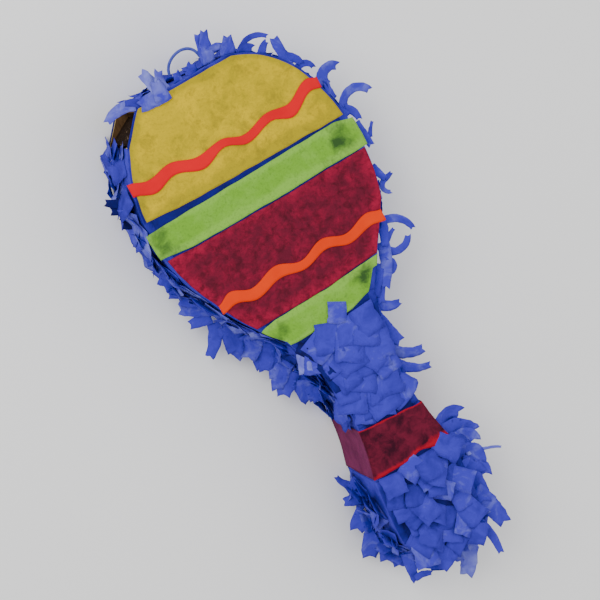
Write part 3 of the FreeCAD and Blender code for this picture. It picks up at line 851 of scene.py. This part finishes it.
NECK_LEFT_TUFTS = [
    (-53, -34, -135, 29, 15, 21, 0.5), (-45, -49, -105, 28, 20, 23, 0.5), (-56, -27, -145, 27, 35, 18, 0.55),
    (-33, -66, -130, 17, 10, 17, 0.4), (-50, -14, -120, 32, 10, 26, 0.42), (-42, -40, -115, 26, 15, 24, 0.38),
    (-52, -22, -150, 24, 20, 22, 0.6), (-36, -56, -110, 24, 5, 22, 0.45),
]
HEAD_LEFT_TUFTS = [
    (-62, 8, -115, 32, 10, 26, 0.4), (-66, 14, -135, 26, 0, 22, 0.6), (-80, 34, -120, 30, 15, 24, 0.4),
    (-56, -3, -145, 29, 30, 18, 0.45), (-71, 21, -90, 27, 5, 23, 0.5), (-85, 40, -95, 44, 15, 24, 0.5),
    (-96, 48, -105, 38, -40, 15, 0.45), (-96, 55, 175, 23, 0, 14, 0.5), (-93, 62, 160, 31, -15, 16, 0.55),
    (-98, 73, 150, 22, 0, 13, 0.45), (-104, 89, 160, 20, 10, 14, 0.5), (-102, 112, -155, 25, 0, 22, 0.45),
    (-107, 141, -150, 23, 40, 15, 0.4), (-110, 165, -135, 24, 0, 13, 0.35),
]
SHADED_TUFTS = [
    (-106, 173, 165, 27, 0, 18, -0.4), (-106, 188, 170, 30, -10, 14, -0.35),
    (-108, 192, 165, 31, -25, 11, -0.3),
    (-109, 196, 160, 17, -50, 7, -0.2), (-97, 226, -155, 19, -20, 8, 0.4), (-96, 236, -165, 19, 70, 11, 0.25),
    (-97, 234, 175, 14, 45, 9, 0.2),
]
TUFTS = [
    ("crown_fringe", 74, 0.1, CROWN_TUFTS),
    ("crown_fringe", 84, 0.1, CORNER_TUFTS),
    ("head_right_fringe", 75, 0.08, HEAD_RIGHT_TUFTS),
    ("neck_right_fringe", 74, 0.06, NECK_RIGHT_TUFTS),
    ("knob_right_fringe", 77, 0.08, KNOB_RIGHT_TUFTS),
    ("knob_end_fringe", 60, -0.1, KNOB_END_TUFTS),
    ("knob_left_fringe", 30, -0.3, KNOB_LEFT_TUFTS),
    ("neck_left_fringe", 38, -0.3, NECK_LEFT_TUFTS),
    ("head_left_fringe", 36, -0.25, HEAD_LEFT_TUFTS),
    ("head_left_fringe", 55, -0.2, SHADED_TUFTS),
]


def fringe_pieces():
    """One piece for each fringe node: the glued tissue, its squares and its tufts."""
    for name, (start, stop) in REGIONS.items():
        skin = Skin()
        indices = region(start, stop)
        wall_strip(skin, indices, 0.42)
        wall_petals(skin, indices, **PETAL_STYLE[name])
        for where, height, climb, tufts in TUFTS:
            for x, y, heading, length, bend, width, tone in tufts if where == name else ():
                tuft(skin, (x, y, height), heading, length, bend, width, tone, climb)
        skin.piece(name, BLUE, replaces=[name], slot="blue_tissue")


fringe_pieces()


# The wall under the handle band, where no fringe is glued.
band_wall = Skin()
for start, stop in (((-29, -108), (-40, -165)), ((45, -168), (35.5, -115))):
    wall_strip(band_wall, region(start, stop), 0.4)
band_wall.piece("band_wall_tissue", BLUE, slot="blue_tissue")


# Front petals on the neck and the knob.

def front_petals(rows, lowest, size, lift, curl, lean, tones, seed):
    """Overlapping squares on the front; a row is its height and its count, the lowest first."""
    skin = Skin()
    draw = random.Random(seed)
    order = 0
    for y, count in rows:
        left = edge_x(y, -1) + 5
        right = edge_x(y, 1) - 5
        for k in draw.sample(range(count), count):
            x = left + (right - left) * (k + 0.5) / count + draw.uniform(-4, 4)
            heading = -math.pi / 2 + draw.uniform(*lean)
            ahead = Vector((math.cos(heading), math.sin(heading), 0))
            side = Vector((-ahead.y, ahead.x, 0))
            order += 1
            root = Vector((x, y + draw.uniform(-3, 3), FRONT + 0.7 + 0.05 * order))
            width = draw.uniform(*size)
            length = min(width * draw.uniform(0.9, 1.2), root.y - lowest)
            petal(skin, root - ahead * 3, ahead, side, length, width,
                  draw.uniform(*lift), draw.uniform(*curl), draw.uniform(-0.15, 0.15), draw.uniform(*tones),
                  draw.uniform(-0.08, 0.1), 0.4)
    return skin


neck_rows = [(-92 + 12.5 * k, 3 if k < 5 else 4) for k in range(8)]
neck = front_petals(neck_rows, -113, (24, 34), (0.02, 0.07), (0.0, 0.08), (-0.7, 0.5), (0.34, 0.56), 5)
# Folds at the upper left of the neck: the root of each, its heading, length, width and tone; the tones below
# 0 are painted shade in the crumpled folds.
FOLDS = [
    (-46, -4, -55, 30, 12, -0.3), (-38, -16, -75, 34, 11, -0.2), (-33, -34, -85, 30, 9, -0.1),
    (-44, -12, -110, 20, 14, 0.8),
]


def neck_extras():
    """A thin square over the green band, and the folds."""
    petal(neck, Vector((10, 14, FRONT + 2.2)), Vector((-0.5, -0.87, 0)), Vector((0.87, -0.5, 0)), 22, 19,
          0.02, 0.0, tone=0.6, crumple=0.3)
    for x, y, heading, length, width, tone in FOLDS:
        angle = math.radians(heading)
        ahead = Vector((math.cos(angle), math.sin(angle), 0))
        side = Vector((-math.sin(angle), math.cos(angle), 0))
        petal(neck, Vector((x, y, FRONT + 1.6)), ahead, side, length, width, 0.03, 0.05, tone=tone,
              crumple=0.8)


neck_extras()
neck.piece("neck_petals", BLUE, replaces=["neck_petals"], slot="blue_tissue")
knob_rows = [(-256 + 13 * k, 3 if k in (0, 3, 6) else 4) for k in range(8)]
knob = front_petals(knob_rows, -290, (19, 27), (0.05, 0.4), (-0.1, 0.35), (-0.9, 0.9), (0.22, 0.62), 8)
knob.piece("knob_petals", BLUE, replaces=["knob_petals"], slot="blue_tissue")


# The fill opening: tissue folded over its front and back edges, and the pale sheet at its corner.

def opening_edges():
    """Tissue folded over the front and back edges of the opening."""
    skin = Skin()
    indices = region(EXIT_HIGH, EXIT_LOW)
    top = FRONT + 0.3
    for profile in (
        ((1.0, top - 2.6), (1.3, top - 1.3), (0.9, top), (-0.6, top + 0.1), (-3.5, top - 0.1)),
        ((0.9, 0.4), (1.2, 1.6), (1.1, 3.0), (0.9, 4.6)),
    ):
        rows = []
        for reach, z in profile:
            row = []
            for k in indices:
                spot = OUTLINE[k % COUNT]
                away = outward(k % COUNT)
                row.append(Vector((spot.x + away.x * reach, spot.y + away.y * reach, z)))
            rows.append(row)
        skin.sheet(rows, PAPER, 0.0)
    skin.piece("opening_edge_tissue", BLUE, slot="blue_tissue")


def corner_tissue():
    """The pale sheet at the upper left corner, folded on to the front beside the opening."""
    skin = Skin()
    tuft(skin, (-38, 272, FRONT + 2.2), 182, 32, 0, 17, 0.6, roll=0.04)
    tuft(skin, (-46, 266, FRONT + 2.7), 85, 20, 0, 15, 0.68, roll=0.04)
    skin.piece("corner_tissue", BLUE, slot="blue_tissue")


opening_edges()
corner_tissue()


# Back cover: one sheet for the overlapping flat squares, with a shallow uneven relief and a tone for each
# square of a grid.

BACK_SQUARE = 24


def back_cover():
    """The sheet glued over the whole back."""
    rows = front_sheet(BOX_LOW, BOX_HIGH, 0.0, 0.0, step=3.0, inset=0.3, ragged=0.0)
    shades = []
    for row in rows:
        for point in row:
            point.z = 0.9 + 0.45 * rough((point.x, point.y, 0), 20, 7)
            square = (round(point.x / BACK_SQUARE), round(point.y / BACK_SQUARE), 0)
            shades.append(0.45 + 0.3 * rough(square, 0.7, 3))
    skin = Skin()
    skin.sheet(rows, COVER, shades)
    obj = skin.piece("back_cover", BACK_BLUE, replaces=["back_cover"], slot="blue_tissue_back")
    declare_sheet(rows)


back_cover()


# Hanging loop: the cord's line through its route points, and its two knots.

CORD_ROUTE = [
    (-0.016, 0.265, 0.024),
    (-0.0158, 0.277, 0.0241),
    (-0.012, 0.2852, 0.0245),
    (-0.005, 0.2904, 0.0251),
    (0.0035, 0.2928, 0.0254),
    (0.012, 0.2914, 0.0251),
    (0.0182, 0.2862, 0.0245),
    (0.0208, 0.2775, 0.0241),
    (0.021, 0.265, 0.024),
]
CORD_DIAMETER = 0.003


def hanging_cord():
    """The loop, on one smooth spline through its route."""
    curve = bpy.data.curves.new("hanging_cord", "CURVE")
    curve.dimensions = "3D"
    line = curve.splines.new("NURBS")
    line.points.add(len(CORD_ROUTE) - 1)
    for point, place in zip(line.points, CORD_ROUTE):
        point.co = (*place, 1.0)
    line.order_u = 3
    line.use_endpoint_u = True
    curve.bevel_depth = CORD_DIAMETER / 2
    curve.bevel_resolution = 4
    curve.resolution_u = 12
    curve.use_fill_caps = True
    curve.materials.append(CORD)
    obj = bpy.data.objects.new("hanging_cord_line", curve)
    bpy.context.scene.collection.objects.link(obj)
    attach(obj, "shell")
    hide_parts("hanging_cord")


hanging_cord()


# Finishes of the CAD nodes that stay.

FINISHES = {
    "back_panel": BOARD,
    "front_panel": BOARD,
    "head_wall_top": BOARD,
    "head_wall_right": BOARD,
    "head_wall_left": BOARD,
    "handle_wall_right": BOARD,
    "handle_wall_left": BOARD,
    "handle_wall_end": BOARD,
    "hanger_plate": BOARD,
    # The fill flap is painted near-black: painted shade of the opening.
    "fill_flap": FLAP_BOARD_PAINTED_SHADE,
    "wall_joint_tapes": TAPE,
    "front_seam_tape": TAPE,
    "back_seam_tape": TAPE,
    "cord_knot_left": CORD,
    "cord_knot_right": CORD,
}
for node, material in FINISHES.items():
    mesh = bpy.data.objects[node].data
    if not mesh.materials:
        mesh.materials.append(material)
    for slot in bpy.data.objects[node].material_slots:
        slot.material = material


# Camera, floor and light.

TARGET = Vector((-21, 34, 84)) * MM
CAMERA_TURN = math.radians(29)
RIGHT_RISE = 0.31
UP_RISE = -0.094
DISTANCE = 1.8
SENSOR = 36
LENS = 112.32


def camera_axes():
    """The camera's right, up and back, from its turn and the slopes of its right and up."""
    across = Vector((math.cos(CAMERA_TURN), -math.sin(CAMERA_TURN), 0))
    along = Vector((math.sin(CAMERA_TURN), math.cos(CAMERA_TURN), 0))
    level = math.sqrt(1 - RIGHT_RISE ** 2)
    lean = -UP_RISE * RIGHT_RISE / level
    right = across * level + Vector((0, 0, RIGHT_RISE))
    up = across * lean + along * math.sqrt(1 - lean ** 2 - UP_RISE ** 2) + Vector((0, 0, UP_RISE))
    return right, up, right.cross(up)


def camera():
    data = bpy.data.cameras.new("camera")
    data.sensor_width = SENSOR
    data.lens = LENS
    data.clip_end = 20
    obj = bpy.data.objects.new("camera", data)
    bpy.context.scene.collection.objects.link(obj)
    right, up, back = camera_axes()
    place = TARGET + back.normalized() * DISTANCE
    turn = Matrix((right, up, back)).transposed()
    obj.matrix_world = Matrix.Translation(place) @ turn.to_4x4()
    bpy.context.scene.camera = obj


def floor():
    mesh = bpy.data.meshes.new("floor")
    mesh.from_pydata([(-6, -6, 0), (6, -6, 0), (6, 6, 0), (-6, 6, 0)], [], [(0, 1, 2, 3)])
    m = Nodes("floor_paper", 0.9)
    m.shader.inputs["Base Color"].default_value = (0.9, 0.9, 0.9, 1)
    mesh.materials.append(m.material)
    obj = bpy.data.objects.new("floor", mesh)
    obj.location.z = -0.0005
    bpy.context.scene.collection.objects.link(obj)


def area_light(name, place, size, power):
    data = bpy.data.lights.new(name, "AREA")
    data.size = size
    data.energy = power
    obj = bpy.data.objects.new(name, data)
    obj.location = place
    obj.rotation_euler = (-Vector(place)).to_track_quat("-Z", "Y").to_euler()
    bpy.context.scene.collection.objects.link(obj)


camera()
floor()
area_light("key", (-0.9, 1.2, 1.7), 1.4, 34)
area_light("fill", (1.3, -0.4, 1.6), 2.0, 16)
world = bpy.data.worlds.new("studio")
world.use_nodes = True
world.node_tree.nodes["Background"].inputs["Color"].default_value = (1, 1, 1, 1)
world.node_tree.nodes["Background"].inputs["Strength"].default_value = 0.75
bpy.context.scene.world = world
